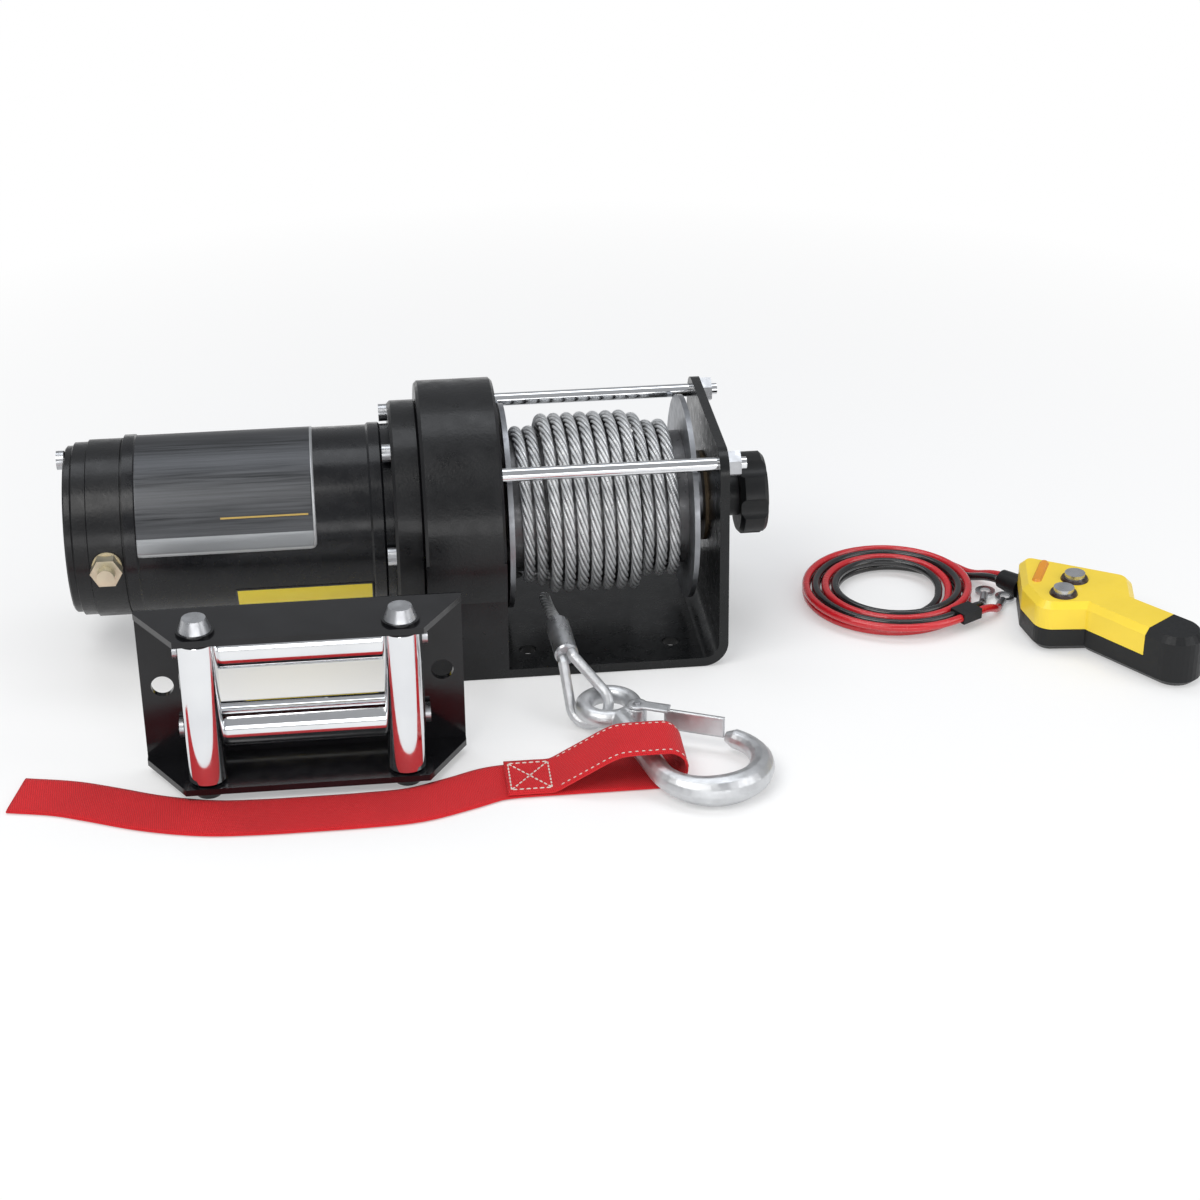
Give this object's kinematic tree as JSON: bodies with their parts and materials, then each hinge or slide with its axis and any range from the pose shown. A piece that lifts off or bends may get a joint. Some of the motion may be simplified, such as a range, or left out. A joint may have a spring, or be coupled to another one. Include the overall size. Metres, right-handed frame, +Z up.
{
  "type": "electric recovery winch",
  "caption": "Electric recovery winch with motor, planetary gear housing, wire rope drum on a bent base, roller fairlead, strapped safety hook and a corded push-button handset.",
  "frame": {"origin": "centre of the base's bolt pattern, on the underside of the base plate", "axes": "+X from the motor to the clutch knob along the drum axis, -Y to the rope side, +Z up"},
  "size_m": [0.5572, 0.2522, 0.1265],
  "materials": {
    "black_paint": "semi-gloss",
    "motor_paint": "semi-gloss",
    "zinc": "satin",
    "gear_steel": "machined",
    "drum_steel": "satin",
    "chrome": "polished",
    "wire_rope": "galvanised",
    "hook_zinc": "forged and zinc plated",
    "brass": "plain",
    "bronze": "plain",
    "copper": "plain",
    "magnet": "plain",
    "insulator": "plain",
    "brush_plate": "plain",
    "yellow_plastic": "smooth",
    "orange_plastic": "smooth",
    "black_plastic": "fine texture",
    "brown_plastic": "smooth",
    "button_plate": "satin",
    "red_webbing": "woven",
    "red_lead": "smooth",
    "black_lead": "smooth"
  },
  "bodies": {
    "frame": {"base_frame": "black_paint", "gear_housing": "black_paint", "gear_cover": "black_paint", "motor_adapter": "black_paint", "housing_screws": "zinc", "motor_can": "motor_paint", "motor_end_bell": "motor_paint", "through_bolts": "zinc", "terminal_insulators": "insulator", "terminal_studs": "brass", "motor_bearings": "gear_steel", "magnets": "magnet", "brush_gear": "brush_plate", "ring_gear": "gear_steel", "drum_bushes": "bronze", "tie_rods": "chrome", "tie_rod_nuts": "zinc", "fairlead_frame": "black_paint", "fairlead_pins": "zinc", "fairlead_nuts": "black_paint", "rope_tail": "wire_rope", "rope_ferrule": "zinc", "rope_thimble": "hook_zinc", "strap_loop": "red_webbing", "strap_tail": "red_webbing", "handset_front": "yellow_plastic", "handset_ridge": "orange_plastic", "handset_rear": "black_plastic", "button_bezels": "brown_plastic", "strain_relief": "black_plastic", "lead_red_run": "red_lead", "lead_red_coil": "red_lead", "lead_black_run": "black_lead", "lead_black_coil": "black_lead", "lead_connector": "black_plastic", "ring_terminals": "zinc"},
    "rotor_body": {"armature_core": "copper", "commutator": "copper", "motor_shaft": "gear_steel"},
    "carrier_body": {"planet_carrier": "gear_steel"},
    "planet_1_body": {"planet_gear_1": "gear_steel"},
    "planet_2_body": {"planet_gear_2": "gear_steel"},
    "planet_3_body": {"planet_gear_3": "gear_steel"},
    "drum_body": {"drum": "drum_steel", "rope_layers": "wire_rope", "rope_winding": "wire_rope", "clutch_spring": "zinc"},
    "dog_body": {"clutch_dog": "gear_steel"},
    "clutch_body": {"clutch_rod": "zinc", "clutch_knob": "black_plastic"},
    "roller_left_body": {"roller_left": "chrome"},
    "roller_right_body": {"roller_right": "chrome"},
    "roller_upper_body": {"roller_upper": "chrome"},
    "roller_lower_body": {"roller_lower": "chrome"},
    "hook_body": {"hook": "hook_zinc", "latch_pin": "zinc"},
    "latch_body": {"hook_latch": "hook_zinc"},
    "button_in_body": {"button_in": "button_plate"},
    "button_out_body": {"button_out": "button_plate"}
  },
  "joints": [
    {"name": "drum_spin", "type": "hinge", "parent": "frame", "child": "drum_body", "pos_m": [0, 0, 0.0635], "axis": [1, 0, 0], "continuous": true},
    {"name": "rotor_spin", "type": "hinge", "parent": "frame", "child": "rotor_body", "pos_m": [-0.15, 0, 0.0635], "axis": [1, 0, 0], "continuous": true},
    {"name": "carrier_spin", "type": "hinge", "parent": "frame", "child": "carrier_body", "pos_m": [-0.0585, 0, 0.0635], "axis": [1, 0, 0], "continuous": true},
    {"name": "planet_1_spin", "type": "hinge", "parent": "carrier_body", "child": "planet_1_body", "pos_m": [-0.069, 0, 0.04475], "axis": [1, 0, 0], "continuous": true},
    {"name": "planet_2_spin", "type": "hinge", "parent": "carrier_body", "child": "planet_2_body", "pos_m": [-0.069, 0.01624, 0.07287], "axis": [1, 0, 0], "continuous": true},
    {"name": "planet_3_spin", "type": "hinge", "parent": "carrier_body", "child": "planet_3_body", "pos_m": [-0.069, -0.01624, 0.07287], "axis": [1, 0, 0], "continuous": true},
    {"name": "clutch_pull", "type": "slide", "parent": "frame", "child": "clutch_body", "axis": [1, 0, 0], "range_m": [0, 0.008]},
    {"name": "dog_slide", "type": "slide", "parent": "drum_body", "child": "dog_body", "axis": [1, 0, 0], "range_m": [0, 0.008], "deforming": ["clutch_spring"]},
    {"name": "roller_left_spin", "type": "hinge", "parent": "frame", "child": "roller_left_body", "pos_m": [-0.186, -0.1445, 0.0425], "axis": [0, 0, 1], "continuous": true},
    {"name": "roller_right_spin", "type": "hinge", "parent": "frame", "child": "roller_right_body", "pos_m": [-0.098, -0.1445, 0.0425], "axis": [0, 0, 1], "continuous": true},
    {"name": "roller_upper_spin", "type": "hinge", "parent": "frame", "child": "roller_upper_body", "pos_m": [-0.142, -0.1245, 0.0625], "axis": [1, 0, 0], "continuous": true},
    {"name": "roller_lower_spin", "type": "hinge", "parent": "frame", "child": "roller_lower_body", "pos_m": [-0.142, -0.1245, 0.0225], "axis": [1, 0, 0], "continuous": true},
    {"name": "hook_swing", "type": "hinge", "parent": "frame", "child": "hook_body", "pos_m": [-0.004, -0.113, 0.0125], "axis": [0, 0, 1], "range_deg": [-10, 1.5]},
    {"name": "latch_swing", "type": "hinge", "parent": "hook_body", "child": "latch_body", "pos_m": [0.0082, -0.12094, 0.012], "axis": [0, 0, -1], "range_deg": [0, 18], "stiffness_Nm_per_rad": 0.02, "springref_deg": -17.19},
    {"name": "button_in_press", "type": "slide", "parent": "frame", "child": "button_in_body", "axis": [0, 0, -1], "range_m": [0, 0.002], "stiffness_N_per_m": 400},
    {"name": "button_out_press", "type": "slide", "parent": "frame", "child": "button_out_body", "axis": [0, 0, -1], "range_m": [0, 0.002], "stiffness_N_per_m": 400}
  ],
  "couplings": [
    {"joint": "rotor_spin", "follows": "drum_spin", "ratio": 5},
    {"joint": "carrier_spin", "follows": "drum_spin", "ratio": 1},
    {"joint": "planet_1_spin", "follows": "drum_spin", "ratio": -2.6667},
    {"joint": "planet_2_spin", "follows": "drum_spin", "ratio": -2.6667},
    {"joint": "planet_3_spin", "follows": "drum_spin", "ratio": -2.6667},
    {"joint": "dog_slide", "follows": "clutch_pull", "ratio": 1}
  ]
}
